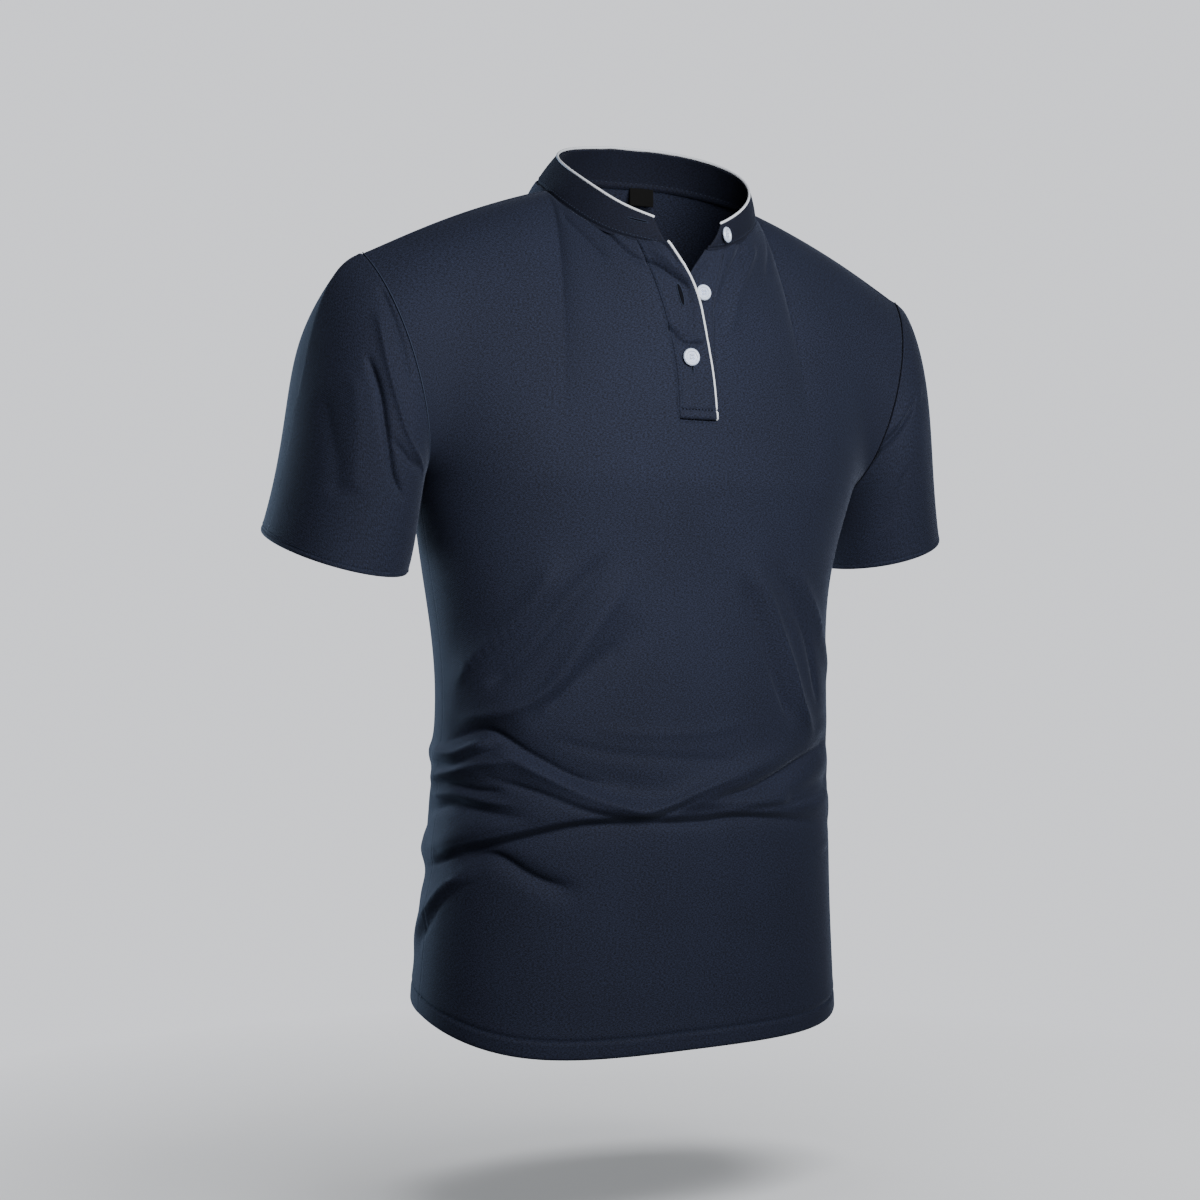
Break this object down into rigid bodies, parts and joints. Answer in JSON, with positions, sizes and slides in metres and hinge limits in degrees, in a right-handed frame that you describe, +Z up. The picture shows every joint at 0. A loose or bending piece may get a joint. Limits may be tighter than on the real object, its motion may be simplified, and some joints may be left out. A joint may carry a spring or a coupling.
{
  "type": "polo shirt",
  "caption": "Short-sleeved knitted shirt with a low band collar, a buttoned half placket and contrast piping, shown filled out as if worn.",
  "frame": {"origin": "on the neck's axis, level with the neck ends of the shoulder seams, where a wearer's shoulders carry the shirt", "axes": "+Z up along the trunk, the shirt's front faces -Y, +X to the wearer's left"},
  "size_m": [0.5745, 0.2303, 0.6976],
  "materials": {
    "navy_knit": "matt pique knit",
    "white_piping": "matt cord",
    "pearl_button": "pearly gloss",
    "label_black": "woven satin"
  },
  "bodies": {
    "root": {"front": "navy_knit", "back": "navy_knit", "sleeve_right": "navy_knit", "sleeve_left": "navy_knit", "collar_band": "navy_knit", "collar_piping": "white_piping", "placket_upper": "navy_knit", "placket_under": "navy_knit", "placket_piping": "white_piping", "button_collar": "pearl_button", "button_open": "pearl_button", "button_fastened": "pearl_button", "size_label": "label_black"}
  },
  "joints": []
}
